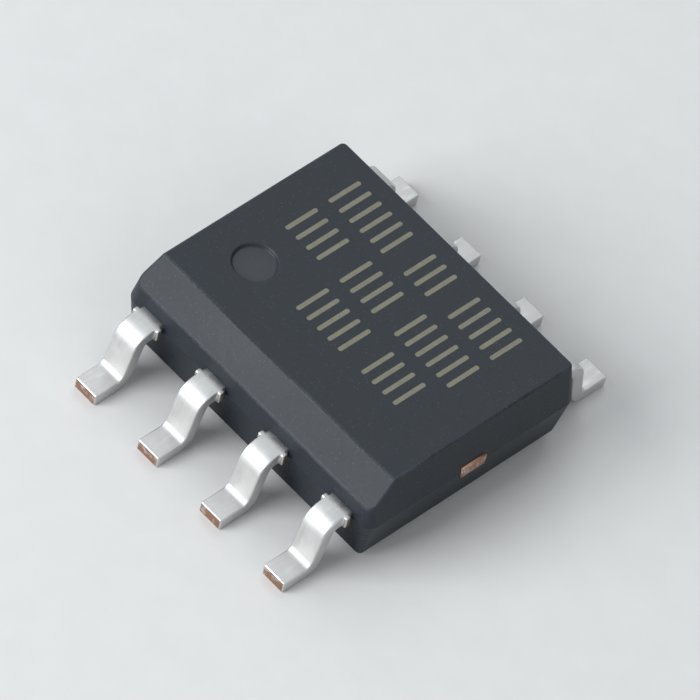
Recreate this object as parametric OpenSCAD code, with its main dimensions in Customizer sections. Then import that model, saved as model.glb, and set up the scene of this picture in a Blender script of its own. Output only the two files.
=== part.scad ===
// Fixed-output linear voltage regulator in an eight-lead small-outline package.
// The origin lies on the board plane, midway between the two rows of leads.
// +X runs along the rows from pin 1 to pin 4, +Y from that row to the other one, and +Z up from the board.

/* [Moulded body] */
// Length of the body along the rows, at its parting line
body_length = 4.9; // [4.8:0.05:5.0]
// Width of the body across the rows, at its parting line
body_width = 3.9; // [3.8:0.05:4.0]
// Thickness of the body
body_thickness = 1.45; // [1.35:0.01:1.55]
// Height of the underside above the board
standoff = 0.15; // [0.1:0.01:0.25]
// Height of the parting line and of the lead frame above the underside
parting_height = 0.74; // [0.68:0.01:0.8]
// Draft of the four sides above and below the parting line, in degrees
draft_angle = 10; // [5:1:15]
// Radius of the body's upright corners where they are tightest
corner_radius = 0.07; // [0.04:0.01:0.15]
// Height of the 45 degree chamfer along the top edge over pins 1 to 4
chamfer_size = 0.39; // [0.25:0.01:0.5]
// Diameter of the pin 1 dimple at its mouth
dimple_diameter = 0.66; // [0.4:0.01:0.8]
// Depth of the pin 1 dimple
dimple_depth = 0.05; // [0.02:0.01:0.1]
// Distance from the end of the top face to the middle of the dimple
dimple_from_end = 0.84; // [0.6:0.01:1.2]
// Distance from the chamfer to the middle of the dimple
dimple_from_chamfer = 0.92; // [0.6:0.01:1.2]
// Diameter of the ejector pin's mark under the body
ejector_diameter = 1.0; // [0.6:0.05:1.4]
// Depth of the ejector pin's mark
ejector_depth = 0.03; // [0.01:0.01:0.06]
// Width of the scar that the mould's gate left on the pin 1 end
gate_width = 0.62; // [0.4:0.01:0.8]
// Height of the gate scar above the parting line
gate_height = 0.15; // [0.1:0.01:0.25]
// How far the gate scar stands out of the body
gate_proud = 0.015; // [0.005:0.005:0.05]
// Distance from the middle of the end to the middle of the gate scar
gate_offset = 1.05; // [0.9:0.01:1.2]

/* [Leads] */
// Distance from toe to toe across the package
lead_span = 6.0; // [5.9:0.05:6.2]
// Distance between neighbouring leads in a row
lead_pitch = 1.27; // [1.2:0.01:1.3]
// Width of a lead outside the body
lead_width = 0.41; // [0.31:0.01:0.51]
// Thickness of the lead frame
lead_thickness = 0.2; // [0.17:0.01:0.25]
// Length of the flat shoulder between the body and the upper bend
shoulder_length = 0.18; // [0.14:0.01:0.24]
// Radius on the inside of both bends of a lead
lead_bend_radius = 0.11; // [0.08:0.01:0.14]
// Slope of a lead between its bends, in degrees down from level
lead_slope = 80; // [70:1:85]
// Width of the trimmed bar's stub on each side of a shoulder
stub_width = 0.05; // [0.02:0.01:0.08]
// Length of the trimmed bar's stubs along the lead
stub_length = 0.09; // [0.06:0.01:0.12]

/* [Inner lead frame] */
// Length of a lead's neck between the side of the body and its bond post
neck_length = 0.3; // [0.2:0.01:0.36]
// Diameter of the half-round notches that lock a neck in the mould compound
notch_diameter = 0.14; // [0.1:0.01:0.18]
// Width of a lead's bond post
post_width = 0.66; // [0.6:0.01:0.8]
// Length over which a neck widens into its bond post
post_taper = 0.08; // [0.04:0.01:0.12]
// Sideways shift of the four corner bond posts towards the die
corner_post_shift = 0.15; // [0.05:0.01:0.2]
// Length of the die pad along the rows
pad_length = 3.0; // [2.6:0.05:3.2]
// Width of the die pad across the rows
pad_width = 1.9; // [1.7:0.05:2.0]
// Clear gap between the die pad and the bond posts
pad_gap = 0.25; // [0.2:0.01:0.3]
// How far the die pad lies below the leads
pad_downset = 0.2; // [0.16:0.01:0.3]
// Width of the two tie bars that carry the die pad
tie_width = 0.45; // [0.3:0.01:0.6]
// Slope of the tie bars' step, in degrees
tie_slope = 45; // [35:1:60]
// Radius on the inside of the tie bars' bends
tie_bend_radius = 0.1; // [0.08:0.01:0.12]
// Length of a tie bar between the die pad and its first bend
tie_root_length = 0.1; // [0.05:0.01:0.2]
// How far the sheared ends of the tie bars stand out of the body
tie_proud = 0.015; // [0.005:0.005:0.05]

/* [Die and bond wires] */
// Length of the silicon die along the rows
die_length = 1.5; // [1.2:0.05:1.8]
// Width of the silicon die across the rows
die_width = 1.2; // [1.0:0.05:1.4]
// Thickness of the silicon die
die_thickness = 0.28; // [0.2:0.01:0.35]
// Thickness of the adhesive under the die
adhesive_thickness = 0.03; // [0.02:0.01:0.05]
// Reach of the adhesive's fillet beyond the die
fillet_reach = 0.12; // [0.06:0.01:0.2]
// Height of the adhesive's fillet up the sides of the die
fillet_height = 0.1; // [0.05:0.01:0.15]
// Diameter of a bond wire
wire_diameter = 0.03; // [0.025:0.005:0.05]
// Diameter of the flattened ball on the die
ball_diameter = 0.085; // [0.07:0.005:0.1]
// Height of the flattened ball
ball_height = 0.02; // [0.015:0.005:0.03]
// Distance from the edge of the die to the balls
ball_inset = 0.1; // [0.06:0.01:0.15]
// Distance between the balls of a doubled wire
ball_pitch = 0.14; // [0.12:0.01:0.2]
// Height of the straight wire above its ball
wire_neck = 0.06; // [0.04:0.01:0.1]
// Radius of the wire's loop at its middle line
loop_radius = 0.08; // [0.06:0.01:0.12]
// Diameter of the stitch that ends a wire on its bond post
stitch_diameter = 0.09; // [0.07:0.005:0.12]
// Thickness of the stitch
stitch_thickness = 0.015; // [0.01:0.005:0.02]
// Distance from the tip of a bond post to the stitches
stitch_inset = 0.16; // [0.1:0.01:0.2]
// Distance between the stitches of a doubled wire
stitch_pitch = 0.2; // [0.15:0.01:0.25]

/* [Hidden] */
$fn = 48;

// Each wire is its name's ending, the pin that it serves and its place beside its twin.
// The output on pin 1 and the input on pin 8 have doubled wires, and pins 3, 6 and 7 have none.
WIRES = [
    ["1a", 1, -0.5],
    ["1b", 1, 0.5],
    ["2", 2, 0],
    ["4", 4, 0],
    ["5", 5, 0],
    ["8a", 8, -0.5],
    ["8b", 8, 0.5]
];
PINS_PER_ROW = 4;
PINS = 2 * PINS_PER_ROW;

// Levels above the board
body_bottom = standoff;
body_top = standoff + body_thickness;
frame_level = standoff + parting_height;
lead_top = frame_level + lead_thickness / 2;
pad_level = frame_level - pad_downset;
pad_top = pad_level + lead_thickness / 2;
die_bottom = pad_top + adhesive_thickness;
die_top = die_bottom + die_thickness;

// How far each side of the body leans in at its top and at its underside
top_draft = (body_top - frame_level) * tan(draft_angle);
bottom_draft = (frame_level - body_bottom) * tan(draft_angle);
top_half_length = body_length / 2 - top_draft;

// Each upright corner is a pair of cones that narrow with the sides, so it is roundest at the parting line
parting_radius = corner_radius + max(top_draft, bottom_draft);

// The chamfer meets the drafted side at a level of its own
chamfer_level = body_top - chamfer_size;
chamfer_foot = body_width / 2 - (chamfer_level - frame_level) * tan(draft_angle);
chamfer_head = chamfer_foot - chamfer_size;

dimple_draft = dimple_depth / 2;
dimple_x = dimple_from_end - top_half_length;
dimple_y = dimple_from_chamfer - chamfer_head;

// A lead drops through two bends and the straight web between them
lead_bend_middle = lead_bend_radius + lead_thickness / 2;
lead_drop = frame_level - lead_thickness / 2;
web_length = (lead_drop - 2 * lead_bend_middle * (1 - cos(lead_slope))) / sin(lead_slope);
web_reach = 2 * lead_bend_middle * sin(lead_slope) + web_length * cos(lead_slope);
shoulder_end = body_width / 2 + shoulder_length;
foot_length = lead_span / 2 - shoulder_end - web_reach;
stub_start = body_width / 2 + (shoulder_length - stub_length) / 2;

// A tie bar climbs from the die pad through two bends to the level of the leads
tie_bend_middle = tie_bend_radius + lead_thickness / 2;
step_length = (pad_downset - 2 * tie_bend_middle * (1 - cos(tie_slope))) / sin(tie_slope);
step_reach = 2 * tie_bend_middle * sin(tie_slope) + step_length * cos(tie_slope);
tie_end_length = (body_length - pad_length) / 2 + tie_proud - tie_root_length - step_reach;

post_tip = pad_width / 2 + pad_gap;
post_start = body_width / 2 - neck_length;

// A margin by which a cutting shape passes the face that it opens, or a scar's root runs into the body
cut_margin = 0.1;

function row_place(pin) = (pin - 1) % PINS_PER_ROW;
function row_turn(pin) = pin > PINS_PER_ROW ? 180 : 0;
function row_side(pin) = pin > PINS_PER_ROW ? 1 : -1;
function row_x(pin) = (row_place(pin) - (PINS_PER_ROW - 1) / 2) * lead_pitch;
function lead_x(pin) = -row_side(pin) * row_x(pin);
function is_corner(pin) = row_place(pin) == 0 || row_place(pin) == PINS_PER_ROW - 1;
function post_shift(pin) = is_corner(pin) ? -sign(row_x(pin)) * corner_post_shift : 0;

// The balls stand in a row along the die's edge that fans out to the leads
ball_row_ratio = (die_length / 2 - ball_inset - ball_pitch / 2) / abs(row_x(1));
function ball_point(wire) = [
    lead_x(wire[1]) * ball_row_ratio + wire[2] * ball_pitch,
    row_side(wire[1]) * (die_width / 2 - ball_inset)
];
function stitch_point(wire) = [
    lead_x(wire[1]) - row_side(wire[1]) * post_shift(wire[1]) + wire[2] * stitch_pitch,
    row_side(wire[1]) * (post_tip + stitch_inset)
];

// The wire leaves its loop along the line from the stitch that just touches the loop's circle
loop_level = die_top + ball_height + wire_neck;
stitch_level = lead_top + wire_diameter / 2;
function round_angle(angle) = round(angle * 100) / 100;
function span(wire) = norm(stitch_point(wire) - ball_point(wire));
function centre_to_stitch(wire) = [span(wire) - loop_radius, stitch_level - loop_level];
function fall_angle(wire) =
    let (line = centre_to_stitch(wire))
    round_angle(atan2(line.x, line.y) - acos(loop_radius / norm(line)));
function fall_length(wire) = sqrt(pow(norm(centre_to_stitch(wire)), 2) - pow(loop_radius, 2));
function heading(wire) =
    let (line = stitch_point(wire) - ball_point(wire))
    atan2(line.y, line.x);

// Carries a 2D section along +X through steps of [straight length, turn].
// A positive turn bends the run downwards, and radius is that of the section's middle.
// The section's x lies across the bends and its y along their axes.
module formed(steps, radius, step = 0) {
    straight = steps[step][0];
    turn = steps[step][1];
    centre = sign(turn) * radius;
    if (straight > 0)
        rotate([0, 90, 0])
            linear_extrude(straight)
                children();
    translate([straight, 0, -centre]) {
        if (turn != 0)
            rotate([90, 0, 0])
                rotate_extrude(angle = abs(turn), start = turn > 0 ? 90 - turn : 270)
                    translate([radius, 0])
                        children();
        if (step + 1 < len(steps))
            rotate([0, turn, 0])
                translate([0, 0, centre])
                    formed(steps, radius, step + 1)
                        children();
    }
}

module strip_section(width) {
    square([lead_thickness, width], center = true);
}

// The section of the body's rim, from the middle of a round corner out to the drafted side
module rim_section() {
    polygon([
        [0, body_bottom],
        [parting_radius - bottom_draft, body_bottom],
        [parting_radius, frame_level],
        [parting_radius - top_draft, body_top],
        [0, body_top]
    ]);
}

// A straight stretch of the rim, which faces +X
module rim_side(length) {
    rotate([90, 0, 0])
        linear_extrude(length, center = true)
            rim_section();
}

// A block with its rim along the four sides and round the four corners
module drafted_block() {
    length = body_length - 2 * parting_radius;
    width = body_width - 2 * parting_radius;
    translate([-length / 2, -width / 2, body_bottom])
        cube([length, width, body_thickness]);
    for (turn = [0, 180])
        rotate([0, 0, turn]) {
            translate([length / 2, 0, 0])
                rim_side(width);
            translate([0, width / 2, 0])
                rotate([0, 0, 90])
                    rim_side(length);
            for (side = [-1, 1])
                translate([side * length / 2, width / 2, 0])
                    rotate_extrude(angle = 90, start = side > 0 ? 0 : 90)
                        rim_section();
        }
}

module chamfer_cut() {
    rotate([90, 0, 90])
        linear_extrude(body_length, center = true)
            polygon([
                [cut_margin - chamfer_head, body_top + cut_margin],
                [-chamfer_foot - cut_margin, chamfer_level - cut_margin],
                [-chamfer_foot - cut_margin, body_top + cut_margin]
            ]);
}

module pin_1_dimple() {
    slope = dimple_draft / dimple_depth;
    translate([dimple_x, dimple_y, body_top - dimple_depth])
        cylinder(
            d1 = dimple_diameter - 2 * dimple_draft,
            d2 = dimple_diameter + 2 * cut_margin * slope,
            h = dimple_depth + cut_margin
        );
}

module ejector_mark() {
    translate([0, 0, body_bottom - cut_margin])
        cylinder(d = ejector_diameter, h = ejector_depth + cut_margin);
}

// The resin left at the gate, with its root in the body
module gate_scar() {
    translate([-body_length / 2 - gate_proud, gate_offset - gate_width / 2, frame_level])
        cube([gate_proud + cut_margin, gate_width, gate_height]);
}

module mould_body() {
    color("#26282b")
        difference() {
            union() {
                drafted_block();
                gate_scar();
            }
            chamfer_cut();
            pin_1_dimple();
            ejector_mark();
            for (pin = [1:PINS])
                lead(pin);
            die_pad();
            die_adhesive();
            regulator_die();
            for (wire = WIRES)
                bond_wire(wire);
        }
}

// The flat of a lead, from the tip of its bond post to the end of its shoulder
module lead_flat_outline(shift) {
    half = lead_width / 2;
    polygon([
        [post_tip, shift - post_width / 2],
        [post_start - post_taper, shift - post_width / 2],
        [post_start, -half],
        [stub_start, -half],
        [stub_start, -half - stub_width],
        [stub_start + stub_length, -half - stub_width],
        [stub_start + stub_length, -half],
        [shoulder_end, -half],
        [shoulder_end, half],
        [stub_start + stub_length, half],
        [stub_start + stub_length, half + stub_width],
        [stub_start, half + stub_width],
        [stub_start, half],
        [post_start, half],
        [post_start - post_taper, shift + post_width / 2],
        [post_tip, shift + post_width / 2]
    ]);
}

// One notch in each side of a lead's neck, halfway along it
module lock_notches() {
    for (side = [-1, 1])
        translate([post_start + neck_length / 2, side * lead_width / 2, 0])
            cylinder(d = notch_diameter, h = lead_thickness + 2 * cut_margin, center = true);
}

module lead(pin) {
    color("#cfd0ce")
        rotate([0, 0, row_turn(pin)])
            translate([row_x(pin), 0, frame_level])
                rotate([0, 0, -90]) {
                    difference() {
                        linear_extrude(lead_thickness, center = true)
                            lead_flat_outline(post_shift(pin));
                        lock_notches();
                    }
                    translate([shoulder_end, 0, 0])
                        formed(
                            [[0, lead_slope], [web_length, -lead_slope], [foot_length, 0]],
                            lead_bend_middle
                        )
                            strip_section(lead_width);
                }
}

module die_pad() {
    color("#b87a56")
        translate([0, 0, pad_level]) {
            cube([pad_length, pad_width, lead_thickness], center = true);
            for (turn = [0, 180])
                rotate([0, 0, turn])
                    translate([pad_length / 2, 0, 0])
                        formed(
                            [[tie_root_length, -tie_slope], [step_length, tie_slope], [tie_end_length, 0]],
                            tie_bend_middle
                        )
                            strip_section(tie_width);
        }
}

// One side of the adhesive seen level: it spreads at the die pad and narrows up the die
module adhesive_outline(die_size) {
    foot = die_size / 2 + fillet_reach;
    lip = die_size / 2 + adhesive_thickness;
    polygon([
        [-foot, pad_top],
        [foot, pad_top],
        [lip, die_bottom + fillet_height],
        [-lip, die_bottom + fillet_height]
    ]);
}

module die_adhesive() {
    color("#9a9a98")
        difference() {
            intersection() {
                rotate([90, 0, 0])
                    linear_extrude(pad_width, center = true)
                        adhesive_outline(die_length);
                rotate([90, 0, 90])
                    linear_extrude(pad_length, center = true)
                        adhesive_outline(die_width);
            }
            regulator_die();
        }
}

module regulator_die() {
    color("#5b6470")
        translate([-die_length / 2, -die_width / 2, die_bottom])
            cube([die_length, die_width, die_thickness]);
}

module bond_wire(wire) {
    ball = ball_point(wire);
    stitch = stitch_point(wire);
    color("#d9a63a") {
        translate([ball.x, ball.y, die_top]) {
            cylinder(d = ball_diameter, h = ball_height);
            translate([0, 0, ball_height])
                rotate([0, -90, heading(wire)])
                    formed([[wire_neck, 90 + fall_angle(wire)], [fall_length(wire), 0]], loop_radius)
                        circle(d = wire_diameter);
        }
        translate([stitch.x, stitch.y, lead_top])
            cylinder(d = stitch_diameter, h = stitch_thickness);
    }
}

mould_body();
for (pin = [1:PINS])
    lead(pin);
die_pad();
die_adhesive();
regulator_die();
for (wire = WIRES)
    bond_wire(wire);
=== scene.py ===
"""Dresses an eight-lead voltage regulator chip and sets it in a plain studio.

The body, the leads and the die pad are modelled anew over their solids, with rounded edges and the marks of
their making. The parts sealed inside keep their solids and get finishes of their own. Lengths are in metres.
"""

import itertools
import logging
import math
from abc import ABC, abstractmethod
from collections.abc import Iterable, Sequence
from dataclasses import dataclass, field
from enum import Enum, IntEnum
from typing import Any, TypeVar

import bmesh
import bpy
from bmesh.types import BMEdge, BMFace, BMVert
from bpy.types import Material, Node, NodeSocket, Object
from mathutils import Matrix, Quaternion, Vector, noise


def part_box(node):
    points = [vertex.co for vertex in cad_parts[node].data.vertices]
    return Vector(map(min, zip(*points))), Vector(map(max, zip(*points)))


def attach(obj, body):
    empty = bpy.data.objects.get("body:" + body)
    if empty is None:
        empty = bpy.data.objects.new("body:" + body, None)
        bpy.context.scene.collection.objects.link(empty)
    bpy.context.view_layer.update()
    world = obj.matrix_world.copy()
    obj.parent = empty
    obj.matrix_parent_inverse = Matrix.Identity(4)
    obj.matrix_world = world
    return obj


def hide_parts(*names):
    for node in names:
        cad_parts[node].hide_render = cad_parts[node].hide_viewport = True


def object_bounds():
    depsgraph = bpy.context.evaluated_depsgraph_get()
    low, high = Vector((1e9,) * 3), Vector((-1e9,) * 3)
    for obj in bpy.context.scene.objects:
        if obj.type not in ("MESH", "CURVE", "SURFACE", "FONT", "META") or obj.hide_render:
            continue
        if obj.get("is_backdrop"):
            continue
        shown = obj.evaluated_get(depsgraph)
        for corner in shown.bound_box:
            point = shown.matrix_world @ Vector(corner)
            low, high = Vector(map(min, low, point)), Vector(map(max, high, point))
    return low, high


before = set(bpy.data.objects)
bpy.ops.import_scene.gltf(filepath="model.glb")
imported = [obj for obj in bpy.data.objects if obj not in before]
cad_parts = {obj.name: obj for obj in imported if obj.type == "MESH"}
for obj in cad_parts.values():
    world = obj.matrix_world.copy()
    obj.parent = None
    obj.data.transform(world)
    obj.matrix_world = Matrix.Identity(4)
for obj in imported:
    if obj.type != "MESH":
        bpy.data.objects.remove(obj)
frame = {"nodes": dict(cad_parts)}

# One millimetre
MM = 0.001
# Points that lie closer together than this are one point
TOUCH = 1e-7
# A face looks a way if its normal has more than this share along it
FACING = 0.9
# The mesh attribute that marks rounded and rubbed faces
WORN = "worn"
# Ways along the chip's axes
LEFT = (-1.0, 0.0, 0.0)
RIGHT = (1.0, 0.0, 0.0)
FRONT = (0.0, -1.0, 0.0)
BACK = (0.0, 1.0, 0.0)
UP = (0.0, 0.0, 1.0)
# The tint of the two main lights
COOL = (0.97, 0.985, 1.0)
LOG = logging.getLogger("regulator")

Colour = tuple[float, float, float]
Triple = tuple[float, float, float]
Item = TypeVar("Item")


class Slot(Enum):
    """The material slots of the chip's record."""

    MOULD = "mould_compound"
    TIN = "tin_plate"
    COPPER = "copper_frame"
    EPOXY = "silver_epoxy"
    SILICON = "silicon"
    GOLD = "gold_wire"


class Shading(Enum):
    """How a piece's faces are shaded: evenly over bends, or flat with only its rounded edges smooth."""

    EVEN = "even"
    FLAT = "flat"


class Axis(IntEnum):
    """The chip's axes: along its rows of leads, across them, and up from the board."""

    X = 0
    Y = 1
    Z = 2


class BodyFinish(IntEnum):
    """The body's materials, in their order."""

    MOULD = 0
    # The pin prints' finish: smoother compound, and its lighter colour is painted sheen
    PIN_PRINT = 1
    TORN = 2


class MetalFinish(IntEnum):
    """The materials of a lead or of the die pad, in their order."""

    SURFACE = 0
    SHEARED = 1


class Signal:
    """One output socket of a finish's nodes, which joins other values by arithmetic."""

    def __init__(self, tree: "FinishTree", socket: NodeSocket) -> None:
        """Keeps the socket and the finish that it belongs to."""
        self.tree = tree
        self.socket = socket

    def __add__(self, other: "Signal | float") -> "Signal":
        """Adds two values."""
        return self.tree.math("ADD", self, other)

    def __radd__(self, other: float) -> "Signal":
        """Adds two values."""
        return self.tree.math("ADD", other, self)

    def __sub__(self, other: "Signal | float") -> "Signal":
        """Takes the other value from this one."""
        return self.tree.math("SUBTRACT", self, other)

    def __rsub__(self, other: float) -> "Signal":
        """Takes this value from the other one."""
        return self.tree.math("SUBTRACT", other, self)

    def __mul__(self, other: "Signal | float") -> "Signal":
        """Multiplies two values."""
        return self.tree.math("MULTIPLY", self, other)

    def __rmul__(self, other: float) -> "Signal":
        """Multiplies two values."""
        return self.tree.math("MULTIPLY", other, self)


class FinishTree:
    """Builds the nodes of one material."""

    # The Mix node has a pair of inputs and an output for each kind of value. These are the ones for colours.
    mix_pair = (6, 7)
    mix_result = 2

    def __init__(self, name: str) -> None:
        """Starts an empty material.

        Args:
            name: The material's name.
        """
        self.material = bpy.data.materials.new(name)
        self.material.use_nodes = True
        self.nodes = self.material.node_tree.nodes
        self.links = self.material.node_tree.links
        self.nodes.clear()

    def add(self, kind: str, settings: dict[str, Any], sockets: dict[str | int, Any]) -> Node:
        """Adds one node.

        Args:
            kind: The node's type, without its "ShaderNode" prefix.
            settings: The node's own settings.
            sockets: A value or a signal for each input socket, by name or number.

        Returns:
            The new node.
        """
        made = self.nodes.new("ShaderNode" + kind)
        for name, value in settings.items():
            setattr(made, name, value)
        for key, value in sockets.items():
            if isinstance(value, Signal):
                self.links.new(value.socket, made.inputs[key])
            else:
                made.inputs[key].default_value = value
        return made

    def node(
        self,
        kind: str,
        settings: dict[str, Any] | None = None,
        sockets: dict[str | int, Any] | None = None,
        output: str | int = 0,
    ) -> Signal:
        """Adds one node and gives back one of its outputs, by name or number."""
        return Signal(self, self.add(kind, settings or {}, sockets or {}).outputs[output])

    def math(self, operation: str, *values: Signal | float) -> Signal:
        """Adds a Math node on the given values."""
        return self.node("Math", {"operation": operation}, dict(enumerate(values)))

    def place(self) -> Signal:
        """Gives the place of a point on the chip."""
        return self.node("TexCoord", output="Object")

    def along(self, value: Signal, axis: Axis) -> Signal:
        """Gives one coordinate of a place, or one channel of a colour."""
        return self.node("SeparateXYZ", sockets={0: value}, output=axis.name)

    def worn(self) -> Signal:
        """Gives how worn a point is: 1 on the rounded edges of a piece and 0 elsewhere."""
        return self.node("Attribute", {"attribute_name": WORN}, output="Fac")

    def stretched(self, place: Signal, size: Triple) -> Signal:
        """Scales a place so that a pattern of size one gets the given size along each axis."""
        return self.node("Mapping", sockets={"Vector": place, "Scale": tuple(1 / length for length in size)})

    def noise(
        self, place: Signal, size: float | Triple, detail: float = 3.0, roughness: float = 0.55
    ) -> Signal:
        """Adds soft noise from 0 to 1.

        Args:
            place: The place that it varies with.
            size: The size of its largest patches, the same every way or along each axis.
            detail: How many finer layers it has.
            roughness: How strong the finer layers are.

        Returns:
            The noise's value.
        """
        if isinstance(size, tuple):
            place, size = self.stretched(place, size), 1.0
        sockets = {"Vector": place, "Scale": 1 / size, "Detail": detail, "Roughness": roughness}
        return self.node("TexNoise", sockets=sockets)

    def cells(self, place: Signal, size: float, output: str = "Distance") -> Signal:
        """Adds scattered cells: the distance from a cell's middle, or with "Color" its own colour."""
        return self.node("TexVoronoi", sockets={"Vector": place, "Scale": 1 / size}, output=output)

    def ramp(self, value: Signal, start: float, end: float) -> Signal:
        """Gives a smooth step from 0 at the start to 1 at the end."""
        sockets = {"Value": value, "From Min": start, "From Max": end}
        return self.node("MapRange", {"interpolation_type": "SMOOTHSTEP"}, sockets)

    def mix(self, share: Signal | float, first: Signal | Colour, second: Signal | Colour) -> Signal:
        """Mixes two colours.

        Args:
            share: The share of the second colour, from 0 to 1.
            first: The first colour.
            second: The second colour.

        Returns:
            The mixed colour.
        """
        colours = [value if isinstance(value, Signal) else (*value, 1.0) for value in (first, second)]
        sockets = {0: share, **dict(zip(self.mix_pair, colours))}
        return self.node("Mix", {"data_type": "RGBA"}, sockets, output=self.mix_result)

    def bump(self, height: Signal, depth: float) -> Signal:
        """Turns a height from 0 to 1 into a normal, where 1 stands for the given depth."""
        return self.node("Bump", sockets={"Height": height, "Distance": depth}, output="Normal")

    def surface(self, sockets: dict[str, Any]) -> Material:
        """Ends the material with its surface.

        Args:
            sockets: The values and signals of the Principled shader.

        Returns:
            The finished material.
        """
        shader = self.node("BsdfPrincipled", sockets=sockets)
        self.add("OutputMaterial", {}, {"Surface": shader})
        return self.material


@dataclass(frozen=True)
class MouldCompound:
    """Epoxy mould compound with pale filler in it and the grain of an eroded mould."""

    name: str = "charcoal_mould_compound"
    dark: Colour = (0.0086, 0.0120, 0.0163)
    light: Colour = (0.0186, 0.0246, 0.0323)
    filler: Colour = (0.055, 0.062, 0.070)
    rubbed: Colour = (0.048, 0.055, 0.064)
    roughness: float = 0.50
    specular: float = 0.28
    grain_size: float = 0.032 * MM
    pit_size: float = 0.0672 * MM
    speck_size: float = 0.048 * MM
    flow_size: Triple = (1.6 * MM, 0.7 * MM, 0.7 * MM)
    depth: float = 0.0060 * MM

    def material(self) -> Material:
        """Builds the finish.

        Returns:
            The finished material.
        """
        tree = FinishTree(self.name)
        place = tree.place()
        grain = tree.noise(place, self.grain_size, detail=4.0, roughness=0.62)
        pits = tree.ramp(tree.cells(place, self.pit_size), 0.05, 0.5)
        flow = tree.noise(place, self.flow_size)
        # A speck of filler lies in the middle of a cell, and only some of the cells hold one.
        speck = tree.ramp(tree.cells(place, self.speck_size), 0.24, 0.14)
        chance = tree.along(tree.cells(place, self.speck_size, output="Color"), Axis.X)
        held = tree.ramp(chance, 0.64, 0.72)
        worn = tree.worn()
        rubbed = worn * tree.ramp(grain + flow, 0.7, 1.3)
        tone = tree.mix(0.6 * flow + 0.4 * grain, self.dark, self.light)
        tone = tree.mix(0.55 * (speck * held), tone, self.filler)
        tone = tree.mix(0.75 * rubbed, tone, self.rubbed)
        return tree.surface(
            {
                "Base Color": tone,
                "Roughness": self.roughness + 0.16 * (flow - 0.5) + 0.14 * (grain - 0.5) - 0.05 * worn,
                "Specular IOR Level": self.specular,
                "Normal": tree.bump(0.7 * grain + 0.3 * pits, self.depth),
            }
        )


@dataclass(frozen=True)
class TinPlate:
    """Matte electroplated tin, burnished on its edges and drawn along the lead by the forming tool."""

    name: str = "matte_tin_plate"
    dull: Colour = (0.43, 0.43, 0.425)
    bright: Colour = (0.73, 0.728, 0.718)
    roughness: float = 0.59
    grain_size: float = 0.011 * MM
    cloud_size: float = 0.22 * MM
    streak_size: Triple = (0.014 * MM, 0.55 * MM, 0.55 * MM)
    scuff_size: Triple = (0.045 * MM, 0.35 * MM, 0.35 * MM)
    depth: float = 0.0032 * MM

    def material(self) -> Material:
        """Builds the finish.

        Returns:
            The finished material.
        """
        tree = FinishTree(self.name)
        place = tree.place()
        grain = tree.noise(place, self.grain_size, roughness=0.6)
        cloud = tree.noise(place, self.cloud_size, detail=4.0)
        streak = tree.noise(place, self.streak_size, detail=2.0)
        scuff = tree.ramp(tree.noise(place, self.scuff_size), 0.56, 0.70)
        worn = tree.worn()
        uneven = 0.18 * (cloud - 0.5) + 0.10 * (streak - 0.5)
        return tree.surface(
            {
                "Base Color": tree.mix(0.50 * cloud + 0.45 * streak + 0.25 * worn, self.dull, self.bright),
                "Metallic": 1.0,
                "Roughness": self.roughness + uneven - 0.12 * scuff - 0.18 * worn,
                "Normal": tree.bump(0.6 * grain + 0.4 * streak, self.depth),
            }
        )


@dataclass(frozen=True)
class ShearedCopper:
    """Copper alloy bared by a shear, with the tin of the plated faces smeared part of the way over it."""

    name: str = "sheared_copper"
    copper: Colour = (0.53, 0.30, 0.195)
    brown: Colour = (0.25, 0.135, 0.095)
    smear: Colour = (0.62, 0.60, 0.57)
    drag_size: Triple = (0.012 * MM, 0.012 * MM, 0.16 * MM)
    torn_size: float = 0.035 * MM
    smear_size: float = 0.11 * MM
    depth: float = 0.005 * MM

    def material(self) -> Material:
        """Builds the finish.

        Returns:
            The finished material.
        """
        tree = FinishTree(self.name)
        place = tree.place()
        drag = tree.noise(place, self.drag_size)
        torn = tree.noise(place, self.torn_size, detail=4.0, roughness=0.65)
        smear = tree.ramp(tree.noise(place, self.smear_size) + 0.35 * drag, 0.66, 0.82)
        height = 0.6 * drag + 0.4 * torn
        tone = tree.mix(height, self.brown, self.copper)
        return tree.surface(
            {
                "Base Color": tree.mix(0.8 * smear, tone, self.smear),
                "Metallic": 1.0,
                "Roughness": 0.34 + 0.24 * torn,
                "Normal": tree.bump(height, self.depth),
            }
        )


@dataclass(frozen=True)
class LaserMark:
    """Mould compound burnt pale by a laser that scanned it in close lines."""

    name: str = "laser_mark"
    burnt: Colour = (0.085, 0.083, 0.062)
    pale: Colour = (0.245, 0.236, 0.176)
    line_pitch: float = 0.025 * MM
    wander: float = 0.008 * MM
    wander_size: float = 0.05 * MM
    speckle_size: float = 0.020 * MM
    patch_size: float = 0.12 * MM
    depth: float = 0.005 * MM

    def material(self) -> Material:
        """Builds the finish.

        Returns:
            The finished material.
        """
        tree = FinishTree(self.name)
        place = tree.place()
        speckle = tree.noise(place, self.speckle_size, detail=4.0, roughness=0.7)
        patch = tree.noise(place, self.patch_size, detail=2.0)
        across = tree.along(place, Axis.X) + self.wander * (tree.noise(place, self.wander_size) - 0.5)
        line = 0.5 + 0.5 * tree.math("SINE", across * (2 * math.pi / self.line_pitch))
        burn = 0.20 * line + 0.85 * (speckle - 0.2) + 0.35 * (patch - 0.3)
        return tree.surface(
            {
                "Base Color": tree.mix(burn, self.burnt, self.pale),
                "Roughness": 0.70 + 0.2 * speckle,
                "Normal": tree.bump(0.3 * line + 0.7 * speckle, self.depth),
            }
        )


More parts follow.
